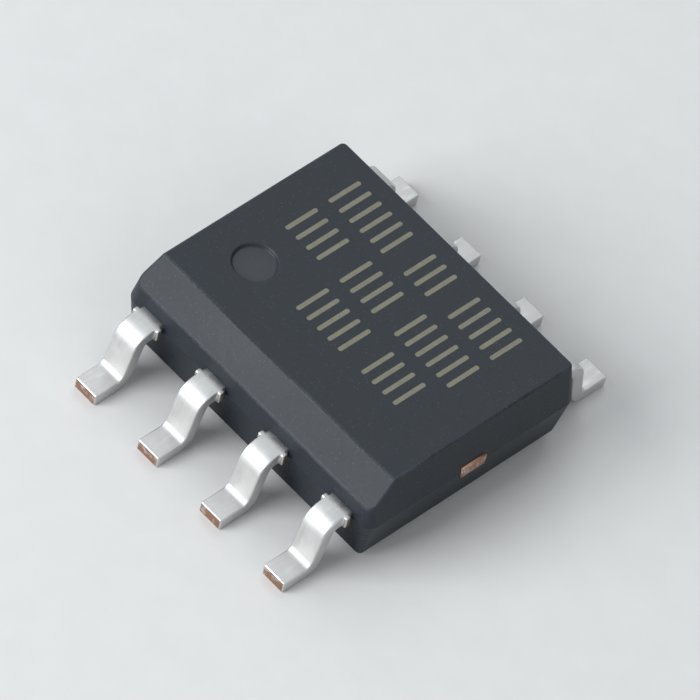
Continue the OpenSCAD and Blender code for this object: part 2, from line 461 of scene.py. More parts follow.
@dataclass(frozen=True)
class BareMetal:
    """Bare metal of the inner frame or of the bond wires, with faint lines from rolling or drawing."""

    name: str
    dark: Colour
    light: Colour
    roughness: float = 0.3
    line_size: Triple = (0.5 * MM, 0.015 * MM, 0.015 * MM)
    cloud_size: float = 0.3 * MM
    depth: float = 0.001 * MM

    def material(self) -> Material:
        """Builds the finish.

        Returns:
            The finished material.
        """
        tree = FinishTree(self.name)
        place = tree.place()
        line = tree.noise(place, self.line_size)
        cloud = tree.noise(place, self.cloud_size)
        return tree.surface(
            {
                "Base Color": tree.mix(0.5 * line + 0.5 * cloud, self.dark, self.light),
                "Metallic": 1.0,
                "Roughness": self.roughness + 0.15 * (cloud - 0.5) + 0.1 * line,
                "Normal": tree.bump(line, self.depth),
            }
        )


@dataclass(frozen=True)
class SilverEpoxy:
    """Die adhesive filled with silver flakes."""

    name: str = "silver_filled_epoxy"
    binder: Colour = (0.34, 0.34, 0.33)
    flake: Colour = (0.66, 0.66, 0.65)
    flake_size: float = 0.012 * MM
    lump_size: float = 0.02 * MM
    depth: float = 0.003 * MM

    def material(self) -> Material:
        """Builds the finish.

        Returns:
            The finished material.
        """
        tree = FinishTree(self.name)
        place = tree.place()
        chance = tree.along(tree.cells(place, self.flake_size, output="Color"), Axis.X)
        flake = tree.ramp(chance, 0.45, 0.60)
        return tree.surface(
            {
                "Base Color": tree.mix(flake, self.binder, self.flake),
                "Metallic": 0.8 * flake,
                "Roughness": 0.62 - 0.2 * flake,
                "Normal": tree.bump(tree.noise(place, self.lump_size), self.depth),
            }
        )


@dataclass(frozen=True)
class PassivatedSilicon:
    """The die's smooth face, with the borders of its circuit's broad blocks just showing."""

    name: str = "passivated_silicon"
    block: Colour = (0.10, 0.115, 0.135)
    border: Colour = (0.23, 0.22, 0.21)
    block_size: float = 0.4 * MM
    border_share: float = 0.03
    mottle_size: float = 0.1 * MM
    refraction: float = 2.0

    def material(self) -> Material:
        """Builds the finish.

        Returns:
            The finished material.
        """
        tree = FinishTree(self.name)
        place = tree.place()
        sockets = {"Vector": place, "Scale": 1 / self.block_size, "Mortar Size": self.border_share}
        border = tree.node("TexBrick", {"offset": 0.5, "squash": 0.7}, sockets, output="Fac")
        mottle = tree.noise(place, self.mottle_size)
        return tree.surface(
            {
                "Base Color": tree.mix(0.7 * border + 0.2 * mottle, self.block, self.border),
                "Roughness": 0.16 + 0.1 * border,
                "IOR": self.refraction,
            }
        )


@dataclass(frozen=True)
class StudioPaper:
    """The pale seamless paper that the chip stands on."""

    name: str = "studio_paper"
    shade: Colour = (0.56, 0.56, 0.555)
    white: Colour = (0.60, 0.60, 0.595)
    roughness: float = 0.8
    specular: float = 0.2
    fibre_size: float = 0.5 * MM

    def material(self) -> Material:
        """Builds the finish.

        Returns:
            The finished material.
        """
        tree = FinishTree(self.name)
        fibre = tree.noise(tree.place(), self.fibre_size, detail=4.0)
        return tree.surface(
            {
                "Base Color": tree.mix(fibre, self.shade, self.white),
                "Roughness": self.roughness,
                "Specular IOR Level": self.specular,
            }
        )


class Finishes:
    """Every finish of the chip and of its studio, built once."""

    def __init__(self) -> None:
        """Builds the materials."""
        # The pin prints are smoother compound, and their lighter colour is painted sheen from the pins'
        # polished faces
        pin_print_and_sheen = MouldCompound(
            name="pin_print_and_sheen",
            dark=(0.019, 0.023, 0.029),
            light=(0.027, 0.032, 0.039),
            roughness=0.42,
            depth=0.0016 * MM,
        )
        torn = MouldCompound(
            name="torn_resin", dark=(0.017, 0.020, 0.024), light=(0.044, 0.049, 0.054), roughness=0.66
        )
        copper = BareMetal("bare_copper_alloy", dark=(0.48, 0.25, 0.15), light=(0.70, 0.41, 0.27))
        gold = BareMetal(
            "drawn_gold_wire", dark=(0.70, 0.47, 0.13), light=(0.88, 0.66, 0.26), roughness=0.22
        )
        self.mould = MouldCompound().material()
        self.pin_print_and_sheen = pin_print_and_sheen.material()
        self.torn = torn.material()
        self.tin = TinPlate().material()
        self.sheared = ShearedCopper().material()
        self.mark = LaserMark().material()
        self.copper = copper.material()
        self.epoxy = SilverEpoxy().material()
        self.silicon = PassivatedSilicon().material()
        self.gold = gold.material()
        self.paper = StudioPaper().material()


@dataclass(frozen=True)
class Package:
    """The chip's driving sizes. The levels and the body's box come from the frame."""

    body_low: Vector
    body_high: Vector
    lead_top: float
    lead_reach: float
    lead_thickness: float = 0.20 * MM
    lead_pitch: float = 1.27 * MM
    pins_per_row: int = 4
    draft: float = math.radians(10)
    chamfer: float = 0.39 * MM
    corner_radius: float = 0.07 * MM

    @classmethod
    def from_frame(cls) -> "Package":
        """Reads the sizes that the frame gives.

        Returns:
            The chip's sizes.
        """
        body_low, body_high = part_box("mould_body")
        lead_low, lead_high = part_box("lead_1")
        return cls(body_low, body_high, lead_top=lead_high.z, lead_reach=-lead_low.y)

    @property
    def pins(self) -> int:
        """How many leads the chip has."""
        return 2 * self.pins_per_row

    @property
    def parting(self) -> float:
        """The level of the parting line, which is the lead frame's middle."""
        return self.lead_top - self.lead_thickness / 2

    @property
    def lead_drop(self) -> float:
        """How far the underside of the lead frame lies above the board."""
        return self.parting - self.lead_thickness / 2

    @property
    def half_length(self) -> float:
        """Half the body's length at its parting line."""
        return self.body_high.x

    @property
    def half_width(self) -> float:
        """Half the body's width at its parting line."""
        return self.body_high.y

    @property
    def scar_plane(self) -> float:
        """Where the gate's scar ends, a little past the body's pin 1 end."""
        return self.body_low.x

    @property
    def top_half_length(self) -> float:
        """Half the length of the body's top face."""
        return self.half_length - self.lean(self.body_high.z)

    @property
    def parting_radius(self) -> float:
        """The radius of the body's upright corners at the parting line, where they are roundest."""
        return self.corner_radius + max(self.lean(self.body_low.z), self.lean(self.body_high.z))

    @property
    def chamfer_head(self) -> float:
        """Distance from the middle to the chamfer's upper edge."""
        return self.half_width - self.lean(self.body_high.z - self.chamfer) - self.chamfer

    def lean(self, level: float) -> float:
        """Gives how far the drafted sides lean in at a level."""
        return abs(level - self.parting) * math.tan(self.draft)


def pick(kind: type[Item], geometry: Iterable[Any]) -> list[Item]:
    """Picks the elements of one kind out of an operator's result."""
    return [item for item in geometry if isinstance(item, kind)]


def distinct(items: Iterable[Item]) -> list[Item]:
    """Lists items once each, in their own order, so that every run gives the same mesh."""
    return list(dict.fromkeys(items))


def runs_along(edge: BMEdge, axis: Axis) -> bool:
    """Tells whether an edge has a length along an axis."""
    start, end = edge.verts
    return abs(start.co[axis] - end.co[axis]) > TOUCH


class Piece:
    """A mesh piece of the chip under way, with the tools that shape it."""

    # How strongly the larger faces set the shading over a bend
    even_weight = 80

    def __init__(self, name: str, slot: Slot, finishes: Sequence[Material]) -> None:
        """Starts an empty piece.

        Args:
            name: The piece's name.
            slot: The record's slot of the piece, which is kept but not used.
            finishes: Its materials, the main one first.
        """
        self.name = name
        self.slot = slot
        self.finishes = finishes
        self.shape = bmesh.new()
        self.worn = self.shape.faces.layers.float.new(WORN)

    def block(self, low: Vector, high: Vector) -> list[BMVert]:
        """Adds a box between two corners and gives its vertices."""
        matrix = Matrix.Translation((low + high) / 2) @ Matrix.Diagonal((*(high - low), 1.0))
        return bmesh.ops.create_cube(self.shape, size=1.0, matrix=matrix)["verts"]

    def turn(self, angle: float) -> None:
        """Turns the piece about the chip's upright axis."""
        bmesh.ops.rotate(self.shape, matrix=Matrix.Rotation(angle, 3, "Z"), verts=self.shape.verts)

    def facing(self, way: Triple) -> list[BMFace]:
        """Lists the faces that look a way."""
        self.shape.normal_update()
        return [face for face in self.shape.faces if face.normal.dot(Vector(way)) > FACING]

    def sharp_edges(self, angle: float) -> list[BMEdge]:
        """Lists the edges whose faces turn by more than an angle."""
        self.shape.normal_update()
        return [edge for edge in self.shape.edges if edge.is_manifold and edge.calc_face_angle() > angle]

    def cut(
        self, place: Triple, way: Triple, faces: Sequence[BMFace] = (), clear: bool = False
    ) -> dict[str, list[Any]]:
        """Cuts the piece along a plane.

        Args:
            place: A point on the plane.
            way: The plane's normal.
            faces: The faces to cut, or none to cut the whole piece.
            clear: Whether what lies past the plane is cleared away.

        Returns:
            All that was cut, as "geom", and what lies on the plane, as "geom_cut".
        """
        verts, edges = self.shape.verts, self.shape.edges
        if faces:
            verts = distinct(vert for face in faces for vert in face.verts)
            edges = distinct(edge for face in faces for edge in face.edges)
        geometry = [*verts, *edges, *(faces or self.shape.faces)]
        return bmesh.ops.bisect_plane(
            self.shape, geom=geometry, plane_co=place, plane_no=way, dist=TOUCH, clear_outer=clear
        )

    def grow(self, face: BMFace) -> tuple[BMFace, list[BMVert]]:
        """Extrudes a face, still in its own place.

        Args:
            face: The face, which goes so that none is left inside.

        Returns:
            The new face and its vertices.
        """
        grown = bmesh.ops.extrude_face_region(self.shape, geom=[face])["geom"]
        bmesh.ops.delete(self.shape, geom=[face], context="FACES_ONLY")
        return pick(BMFace, grown)[0], pick(BMVert, grown)

    def round_over(
        self, edges: Sequence[BMEdge], radius: float, segments: int = 3, wear: float = 1.0
    ) -> None:
        """Rounds edges over and marks them as worn.

        Args:
            edges: The edges to round.
            radius: How far from an edge the rounding starts.
            segments: How many faces it has.
            wear: How much the rounded faces wear.
        """
        made = bmesh.ops.bevel(
            self.shape,
            geom=edges,
            offset=radius,
            offset_type="OFFSET",
            segments=segments,
            profile=0.5,
            affect="EDGES",
            clamp_overlap=True,
            material=-1,
        )
        for face in made["faces"]:
            face[self.worn] = wear

    def hand_over(self, replaced: Sequence[str] = (), shading: Shading = Shading.EVEN) -> Object:
        """Closes the mesh and sets it in the frame.

        Args:
            replaced: The CAD nodes that the piece stands for.
            shading: How the faces of the piece are shaded.

        Returns:
            The piece's object.
        """
        bmesh.ops.remove_doubles(self.shape, verts=self.shape.verts, dist=TOUCH)
        bmesh.ops.recalc_face_normals(self.shape, faces=self.shape.faces)
        for face in self.shape.faces:
            face.smooth = shading is Shading.EVEN or face[self.worn] > 0.0
        mesh = bpy.data.meshes.new(self.name)
        self.shape.to_mesh(mesh)
        self.shape.free()
        for finish in self.finishes:
            mesh.materials.append(finish)
        made = bpy.data.objects.new(self.name, mesh)
        bpy.context.scene.collection.objects.link(made)
        if shading is Shading.EVEN:
            weighted = made.modifiers.new("even_shading", "WEIGHTED_NORMAL")
            weighted.mode = "FACE_AREA"
            weighted.weight = self.even_weight
        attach(made, "root")
        if replaced:
            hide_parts(*replaced)
        return made


@dataclass
class ModelledPart(ABC):
    """A part that is modelled anew: the sizes and finishes that it takes, and its mesh under way."""

    package: Package
    finishes: Finishes
    piece: Piece = field(init=False)

    @abstractmethod
    def build(self) -> Object:
        """Models the part and gives its object."""


@dataclass
class MouldedBody(ModelledPart):
    """The black moulded body, with its chamfer, its pin 1 dimple, the gate's scar and the ejector's mark."""

    edge_radius: float = 0.028 * MM
    # Edges that turn by more than this are rounded
    edge_turn: float = math.radians(25)
    corner_segments: int = 8
    corner_wear: float = 0.4
    dimple_radius: float = 0.33 * MM
    dimple_depth: float = 0.05 * MM
    dimple_from_end: float = 0.84 * MM
    dimple_from_chamfer: float = 0.92 * MM
    ejector_radius: float = 0.50 * MM
    ejector_depth: float = 0.03 * MM
    mark_segments: int = 72
    # The share of its depth that a mark's wall leans in by
    mark_lean: float = 0.5
    # The rounding of a mark's lip and foot, and where along it the ring between its ends lies
    rim: float = 0.012 * MM
    rim_drop: float = 0.25
    rim_inset: float = 0.35
    lip_wear: float = 0.5
    wall_wear: float = 0.02
    gate_width: float = 0.62 * MM
    gate_height: float = 0.15 * MM
    gate_offset: float = 1.05 * MM
    # The scar is split into stretches along its length, and their sides into facets
    gate_stretches: int = 4
    gate_facets: int = 5
    tear: float = 0.015 * MM
    tear_grain: float = 0.045 * MM
    tear_seed: int = 1

    def build(self) -> Object:
        """Models the body.

        Returns:
            The body's object.
        """
        package = self.package
        finishes = [self.finishes.mould, self.finishes.pin_print_and_sheen, self.finishes.torn]
        self.piece = Piece("moulded_body", Slot.MOULD, finishes)
        self.block_out()
        self.cut_chamfer()
        self.round_edges()
        self.tear_gate()
        dimple_x = self.dimple_from_end - package.top_half_length
        dimple_y = self.dimple_from_chamfer - package.chamfer_head
        dimple = Vector((dimple_x, dimple_y, package.body_high.z))
        ejector = Vector((0.0, 0.0, package.body_low.z))
        self.sink_mark(dimple, self.dimple_radius, self.dimple_depth, side=1.0)
        self.sink_mark(ejector, self.ejector_radius, self.ejector_depth, side=-1.0)
        for edge in self.piece.shape.edges:
            edge.smooth = self.leaves_parting(edge)
        return self.piece.hand_over(["mould_body"], Shading.FLAT)

    def block_out(self) -> None:
        """Adds the body's box with round corners, and leans its sides in from the parting line."""
        package = self.package
        low = Vector((-package.half_length, package.body_low.y, package.body_low.z))
        self.piece.block(low, package.body_high)
        upright = [edge for edge in self.piece.shape.edges if runs_along(edge, Axis.Z)]
        self.piece.round_over(upright, package.parting_radius, self.corner_segments, self.corner_wear)
        self.piece.cut((0.0, 0.0, package.parting), UP)
        levels = (package.body_low.z, package.body_high.z)
        for level, x_side, y_side in itertools.product(levels, (-1, 1), (-1, 1)):
            self.lean_corner(level, x_side, y_side)

    def lean_corner(self, level: float, x_side: int, y_side: int) -> None:
        """Draws one round corner in towards its middle at the top or the underside.

        Args:
            level: The level of the top or of the underside.
            x_side: The end of the body that the corner is at, as -1 or 1.
            y_side: The side of the body that the corner is at, as -1 or 1.
        """
        package, radius = self.package, self.package.parting_radius
        middle_x = x_side * (package.half_length - radius)
        middle_y = y_side * (package.half_width - radius)
        ratio = 1 - package.lean(level) / radius
        verts = [
            vert
            for vert in self.piece.shape.verts
            if abs(vert.co.z - level) < TOUCH and vert.co.x * x_side > 0 and vert.co.y * y_side > 0
        ]
        space = Matrix.Translation((-middle_x, -middle_y, 0.0))
        bmesh.ops.scale(self.piece.shape, vec=(ratio, ratio, 1.0), space=space, verts=verts)

    def cut_chamfer(self) -> None:
        """Cuts the chamfer along the top edge over the first row of pins."""
        head = (0.0, -self.package.chamfer_head, self.package.body_high.z)
        cut = self.piece.cut(head, (0.0, -1.0, 1.0), clear=True)
        bmesh.ops.contextual_create(self.piece.shape, geom=pick(BMEdge, cut["geom_cut"]))
        bmesh.ops.recalc_face_normals(self.piece.shape, faces=self.piece.shape.faces)

    def leaves_parting(self, edge: BMEdge) -> bool:
        """Tells whether an edge leaves the level of the parting line."""
        return any(abs(vert.co.z - self.package.parting) > TOUCH for vert in edge.verts)

    def round_edges(self) -> None:
        """Rounds every edge over but the parting line."""
        edges = [edge for edge in self.piece.sharp_edges(self.edge_turn) if self.leaves_parting(edge)]
        self.piece.round_over(edges, self.edge_radius)

    def tear_gate(self) -> None:
        """Raises the rough scar where the body was broken from the mould's runner, at its pin 1 end."""
        shape, outer = self.piece.shape, self.package.scar_plane
        front, verts = self.piece.grow(self.gate_patch())
        for vert in verts:
            vert.co.x = outer
        lengthwise = [edge for edge in front.edges if runs_along(edge, Axis.Y)]
        bmesh.ops.subdivide_edges(shape, edges=lengthwise, cuts=self.gate_stretches - 1, use_grid_fill=True)
        raised = [edge for edge in shape.edges if all(vert.co.x < outer + TOUCH for vert in edge.verts)]
        bmesh.ops.subdivide_edges(shape, edges=raised, cuts=self.gate_facets - 1, use_grid_fill=True)
        scar = [vert for vert in shape.verts if vert.co.x < outer + TOUCH]
        facets = distinct(face for vert in scar for face in vert.link_faces)
        for face in facets:
            face.material_index = BodyFinish.TORN
        bmesh.ops.triangulate(shape, faces=facets)
        noise.seed_set(self.tear_seed)
        for vert in scar:
            vert.co += self.tear * noise.noise_vector(vert.co / self.tear_grain)

    def gate_patch(self) -> BMFace:
        """Cuts the outline of the gate's scar into the pin 1 end, above the parting line.

        Returns:
            The face inside the outline.
        """
        package = self.package
        near, far = self.gate_offset - self.gate_width / 2, self.gate_offset + self.gate_width / 2
        top = package.parting + self.gate_height
        planes = [((0.0, near, 0.0), BACK), ((0.0, far, 0.0), BACK), ((0.0, 0.0, top), UP)]
        ends = [face for face in self.piece.facing(LEFT) if face.normal.z > 0.0]
        faces = [max(ends, key=BMFace.calc_area)]
        for place, way in planes:
            faces = pick(BMFace, self.piece.cut(place, way, faces)["geom"])
        middle = Vector((package.scar_plane, self.gate_offset, (package.parting + top) / 2))
        return min(faces, key=lambda face: (face.calc_center_median() - middle).length)

    def mark_rings(self, radius: float, depth: float) -> list[Triple]:
        """Lists the rings of a sunk mark from its rounded lip down to its floor.

        Args:
            radius: The mark's radius.
            depth: The mark's depth.

        Returns:
            The radius, depth and wear of each ring.
        """
        foot = radius - self.mark_lean * depth
        drop, inset = self.rim_drop * self.rim, self.rim_inset * self.rim
        return [
            (radius, drop, self.lip_wear),
            (radius - inset, self.rim, self.lip_wear),
            (foot + inset, depth - self.rim, self.wall_wear),
            (foot, depth - drop, self.wall_wear),
            (foot - self.rim, depth, self.wall_wear),
        ]

    def sink_mark(self, centre: Vector, radius: float, depth: float, side: float) -> None:
        """Sinks a round mark into the top or the underside.

        Args:
            centre: The middle of the mark's mouth.
            radius: The mark's radius.
            depth: The mark's depth.
            side: 1 for the top and -1 for the underside.
        """
        shape, space = self.piece.shape, Matrix.Translation(-centre)
        flat = max(self.piece.facing((0.0, 0.0, side)), key=BMFace.calc_area)
        outline = list(flat.edges)
        bmesh.ops.delete(shape, geom=[flat], context="FACES_ONLY")
        last_radius, last_depth = radius + self.rim, 0.0
        mouth = bmesh.ops.create_circle(
            shape, segments=self.mark_segments, radius=last_radius, matrix=Matrix.Translation(centre)
        )
        ring = distinct(edge for vert in mouth["verts"] for edge in vert.link_edges)
        bmesh.ops.triangle_fill(shape, use_beauty=True, edges=outline + ring, normal=(0.0, 0.0, side))
        for next_radius, next_depth, wear in self.mark_rings(radius, depth):
            grown = bmesh.ops.extrude_edge_only(shape, edges=ring)["geom"]
            verts = pick(BMVert, grown)
            fresh = set(verts)
            ring = [edge for edge in pick(BMEdge, grown) if fresh.issuperset(edge.verts)]
            ratio = next_radius / last_radius
            bmesh.ops.scale(shape, vec=(ratio, ratio, 1.0), space=space, verts=verts)
            bmesh.ops.translate(shape, vec=(0.0, 0.0, side * (last_depth - next_depth)), verts=verts)
            # The mark's walls take the pin print finish, whose lighter colour is painted sheen
            for face in pick(BMFace, grown):
                face[self.piece.worn] = wear
                face.material_index = BodyFinish.PIN_PRINT
            last_radius, last_depth = next_radius, next_depth
        # The mark's floor takes the same finish, with its painted sheen
        for face in bmesh.ops.contextual_create(shape, geom=ring)["faces"]:
            face.material_index = BodyFinish.PIN_PRINT


@dataclass
class StripEnd:
    """The free end of a metal strip that runs along -Y, which bends and straights carry on."""

    piece: Piece
    face: BMFace
    heading: float = 0.0
    bend_steps: int = 10

    def bend(self, radius: float, turn: float) -> None:
        """Bends the strip on from its end.

        Args:
            radius: The bend's radius at the middle of the strip.
            turn: The angle of the bend, positive to bend downwards.
        """
        above = Vector((0.0, -math.sin(self.heading), math.cos(self.heading)))
        swept = bmesh.ops.spin(
            self.piece.shape,
            geom=[self.face, *self.face.edges, *self.face.verts],
            cent=self.face.calc_center_median() - math.copysign(radius, turn) * above,
            axis=RIGHT,
            angle=turn,
            steps=self.bend_steps,
        )
        self.face = pick(BMFace, swept["geom_last"])[0]
        self.heading += turn

    def straight(self, length: float) -> None:
        """Carries the strip straight on from its end.

        Args:
            length: The length of the straight.
        """
        self.face, verts = self.piece.grow(self.face)
        path = Vector((0.0, -math.cos(self.heading), -math.sin(self.heading))) * length
        bmesh.ops.translate(self.piece.shape, vec=path, verts=verts)

    def joggle(self, radius: float, slope: float, drop: float) -> float:
        """Takes the strip down, or up by a drop below 0, through two bends to the way that it came.

        Args:
            radius: The bends' radius at the middle of the strip.
            slope: The angle of the stretch between the bends.
            drop: How far the strip goes down.

        Returns:
            How far the strip has got along its way.
        """
        turn = math.copysign(slope, drop)
        web = (abs(drop) - 2 * radius * (1 - math.cos(slope))) / math.sin(slope)
        self.bend(radius, turn)
        self.straight(web)
        self.bend(radius, -turn)
        return 2 * radius * math.sin(slope) + web * math.cos(slope)


@dataclass
class FormedLead(ModelledPart):
    """One tin-plated gull-wing lead, from its bond post inside the body to its toe."""

    pin: int
    width: float = 0.41 * MM
    shoulder: float = 0.18 * MM
    inner_radius: float = 0.11 * MM
    slope: float = math.radians(80)
    stub_width: float = 0.05 * MM
    stub_length: float = 0.09 * MM
    neck: float = 0.30 * MM
    post_width: float = 0.66 * MM
    post_taper: float = 0.08 * MM
    post_tip: float = 1.20 * MM
    notch_radius: float = 0.07 * MM
    notch_steps: int = 8
    # How far the posts of a row's two outer leads stand in towards its middle
    corner_shift: float = 0.15 * MM
    edge_radius: float = 0.020 * MM
    # Edges that turn by more than this are rounded
    edge_turn: float = math.radians(35)

    def build(self) -> Object:
        """Models the lead.

        Returns:
            The lead's object.
        """
        node = f"lead_{self.pin}"
        self.piece = Piece(f"formed_{node}", Slot.TIN, [self.finishes.tin, self.finishes.sheared])
        self.stamp()
        self.form()
        self.round_edges()
        self.bare_cut_ends()
        turn = math.pi if self.pin > self.package.pins_per_row else 0.0
        matrix = Matrix.Rotation(turn, 4, "Z") @ Matrix.Translation((self.row_x, 0.0, 0.0))
        bmesh.ops.transform(self.piece.shape, matrix=matrix, verts=self.piece.shape.verts)
        return self.piece.hand_over([node])

    @property
    def row_x(self) -> float:
        """The lead's place along its row, counted from the row's middle."""
        row = self.package.pins_per_row
        return ((self.pin - 1) % row - (row - 1) / 2) * self.package.lead_pitch

    @property
    def post_shift(self) -> float:
        """How far the lead's bond post stands to one side."""
        outer = abs(self.row_x) > self.package.lead_pitch
        return -math.copysign(self.corner_shift, self.row_x) if outer else 0.0

    @property
    def post_root(self) -> float:
        """Distance from the package's middle to the root of the bond post."""
        return self.package.half_width - self.neck

    @property
    def shoulder_end(self) -> float:
        """Distance from the package's middle to the start of the upper bend."""
        return self.package.half_width + self.shoulder

    def flat_outline(self) -> list[tuple[float, float]]:
        """Lists one side of the flat blank, from the bond post out.

        Returns:
            The distance from the package's middle, and from the lead's middle, of each corner.
        """
        half, tip = self.width / 2, self.post_width / 2
        stub = self.package.half_width + (self.shoulder - self.stub_length) / 2
        notch_middle, radius = self.post_root + self.neck / 2, self.notch_radius
        turns = [math.pi * step / self.notch_steps for step in range(self.notch_steps + 1)]
        return [
            (self.post_tip, tip),
            (self.post_root - self.post_taper, tip),
            (self.post_root, half),
            *((notch_middle - radius * math.cos(turn), half - radius * math.sin(turn)) for turn in turns),
            (stub, half),
            (stub, half + self.stub_width),
            (stub + self.stub_length, half + self.stub_width),
            (stub + self.stub_length, half),
            (self.shoulder_end, half),
        ]

    def shift_at(self, place: float) -> float:
        """Gives the sideways shift of the blank at a place along the lead."""
        return self.post_shift if place < self.post_root else 0.0

    def stamp(self) -> None:
        """Adds the flat of the lead, up to the end of its shoulder."""
        shape, level = self.piece.shape, self.package.lead_drop
        side = self.flat_outline()
        points = [(self.shift_at(place) + across, -place, level) for place, across in side]
        points += [(self.shift_at(place) - across, -place, level) for place, across in reversed(side)]
        face = shape.faces.new([shape.verts.new(point) for point in points])
        grown = bmesh.ops.extrude_face_region(shape, geom=[face])["geom"]
        thickness = (0.0, 0.0, self.package.lead_thickness)
        bmesh.ops.translate(shape, vec=thickness, verts=pick(BMVert, grown))
        bmesh.ops.recalc_face_normals(shape, faces=shape.faces)

    def form(self) -> None:
        """Carries the end of the blank down through its two bends and out to the toe."""
        radius = self.inner_radius + self.package.lead_thickness / 2
        end = StripEnd(self.piece, min(self.piece.shape.faces, key=lambda face: face.calc_center_median().y))
        reach = end.joggle(radius, self.slope, self.package.lead_drop)
        end.straight(self.package.lead_reach - self.shoulder_end - reach)

    def round_edges(self) -> None:
        """Rounds over the edges that stand outside the body."""
        edges = [
            edge
            for edge in self.piece.sharp_edges(self.edge_turn)
            if any(-vert.co.y > self.package.half_width for vert in edge.verts)
        ]
        self.piece.round_over(edges, self.edge_radius)

    def bare_cut_ends(self) -> None:
        """Gives the toe's end and the ends of the trimmed stubs their sheared copper."""
        stub_end = self.width / 2 + self.stub_width
        for face in self.piece.facing(FRONT):
            if face.calc_center_median().y < TOUCH - self.package.lead_reach:
                face.material_index = MetalFinish.SHEARED
        for face in [*self.piece.facing(LEFT), *self.piece.facing(RIGHT)]:
            middle = face.calc_center_median()
            if abs(middle.x) > stub_end - TOUCH and -middle.y > self.package.half_width:
                face.material_index = MetalFinish.SHEARED


@dataclass
class FormedDiePad(ModelledPart):
    """The sunk pad that carries the die, with the two tie bars that were sheared at the body's ends."""

    length: float = 3.0 * MM
    tie_width: float = 0.45 * MM
    tie_root: float = 0.10 * MM
    tie_slope: float = math.radians(45)
    tie_bend_radius: float = 0.10 * MM
    edge_radius: float = 0.012 * MM
    edge_segments: int = 2

    def build(self) -> Object:
        """Models the pad along Y, as a strip runs, and then turns it along the rows of leads.

        Returns:
            The pad's object.
        """
        self.piece = Piece("formed_die_pad", Slot.COPPER, [self.finishes.copper, self.finishes.sheared])
        low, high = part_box("die_pad")
        top = low.z + self.package.lead_thickness
        near, far = Vector((low.y, -self.length / 2, low.z)), Vector((high.y, self.length / 2, top))
        self.piece.block(near, far)
        for side in (-1, 1):
            self.piece.cut((side * self.tie_width / 2, 0.0, 0.0), RIGHT)
        for _ in range(2):
            self.draw_tie_bar(high.x, high.z - top)
            self.piece.turn(math.pi)
        self.piece.turn(math.pi / 2)
        self.shear_ends(high.x)
        return self.piece.hand_over(["die_pad"])

    def draw_tie_bar(self, reach: float, rise: float) -> None:
        """Carries one tie bar out from the pad and up to the level of the leads.

        Args:
            reach: Distance from the pad's middle to the tie bar's end.
            rise: How far the leads lie above the pad.
        """
        radius = self.tie_bend_radius + self.package.lead_thickness / 2
        faces = self.piece.shape.faces
        ends = [face for face in faces if face.calc_center_median().y < TOUCH - self.length / 2]
        end = StripEnd(self.piece, min(ends, key=lambda face: abs(face.calc_center_median().x)))
        end.straight(self.tie_root)
        stepped = end.joggle(radius, self.tie_slope, -rise)
        end.straight(reach - self.length / 2 - self.tie_root - stepped)

    def shear_ends(self, reach: float) -> None:
        """Rounds the cut ends of the tie bars and bares their copper.

        Args:
            reach: Distance from the pad's middle to the tie bars' ends.
        """
        shape = self.piece.shape
        edges = [edge for edge in shape.edges if all(abs(vert.co.x) > reach - TOUCH for vert in edge.verts)]
        self.piece.round_over(edges, self.edge_radius, self.edge_segments)
        for face in shape.faces:
            if abs(face.calc_center_median().x) > reach - self.edge_radius:
                face.material_index = MetalFinish.SHEARED


@dataclass(frozen=True)
class MarkRow:
    """One row of strokes: the level of its middle, where it starts and how many strokes each group has."""

    middle: float
    start: float
    groups: tuple[int, ...]


@dataclass
class LaserMarking(ModelledPart):
    """Rows of plain strokes where a maker's marking would stand."""

    stroke: float = 0.07 * MM
    height: float = 0.58 * MM
    pitch: float = 0.21 * MM
    group_gap: float = 0.26 * MM
    end_radius: float = 0.0315 * MM
    end_segments: int = 4
    proud: float = 0.0015 * MM
    depth: float = 0.01 * MM
    rows: tuple[MarkRow, ...] = (
        MarkRow(1.24 * MM, -1.70 * MM, (6, 3, 5)),
        MarkRow(0.44 * MM, -1.70 * MM, (4, 4, 6)),
        MarkRow(-0.36 * MM, -0.60 * MM, (5, 4)),
    )

    def build(self) -> Object:
        """Models the marking.

        Returns:
            The marking's object.
        """
        self.piece = Piece("laser_marking", Slot.MOULD, [self.finishes.mark])
        for row in self.rows:
            place = row.start
            for count in row.groups:
                for _ in range(count):
                    self.burn(place, row.middle)
                    place += self.pitch
                place += self.group_gap
        return self.piece.hand_over(shading=Shading.FLAT)

    def burn(self, place: float, middle: float) -> None:
        """Adds one stroke with round ends.

        Args:
            place: Where the stroke's near side stands along the row.
            middle: The level of the row's middle.
        """
        top = self.package.body_high.z
        low = Vector((place, middle - self.height / 2, top - self.depth))
        high = Vector((place + self.stroke, middle + self.height / 2, top + self.proud))
        edges = distinct(edge for vert in self.piece.block(low, high) for edge in vert.link_edges)
        upright = [edge for edge in edges if runs_along(edge, Axis.Z)]
        self.piece.round_over(upright, self.end_radius, self.end_segments, wear=0.0)


@dataclass
class InnerParts:
    """The die, its adhesive and the bond wires, sealed inside the body, which keep their CAD solids."""

    nodes: dict[str, Object]
    finishes: Finishes

    def dress(self) -> list[Object]:
        """Gives each inner part its finish.

        Returns:
            The parts that were dressed.
        """
        finish_by_start = {
            "die_adhesive": self.finishes.epoxy,
            "regulator_die": self.finishes.silicon,
            "bond_wire": self.finishes.gold,
        }
        dressed = []
        for (name, part), start in itertools.product(self.nodes.items(), finish_by_start):
            if name.startswith(start):
                part.data.materials.clear()
                part.data.materials.append(finish_by_start[start])
                dressed.append(part)
        return dressed


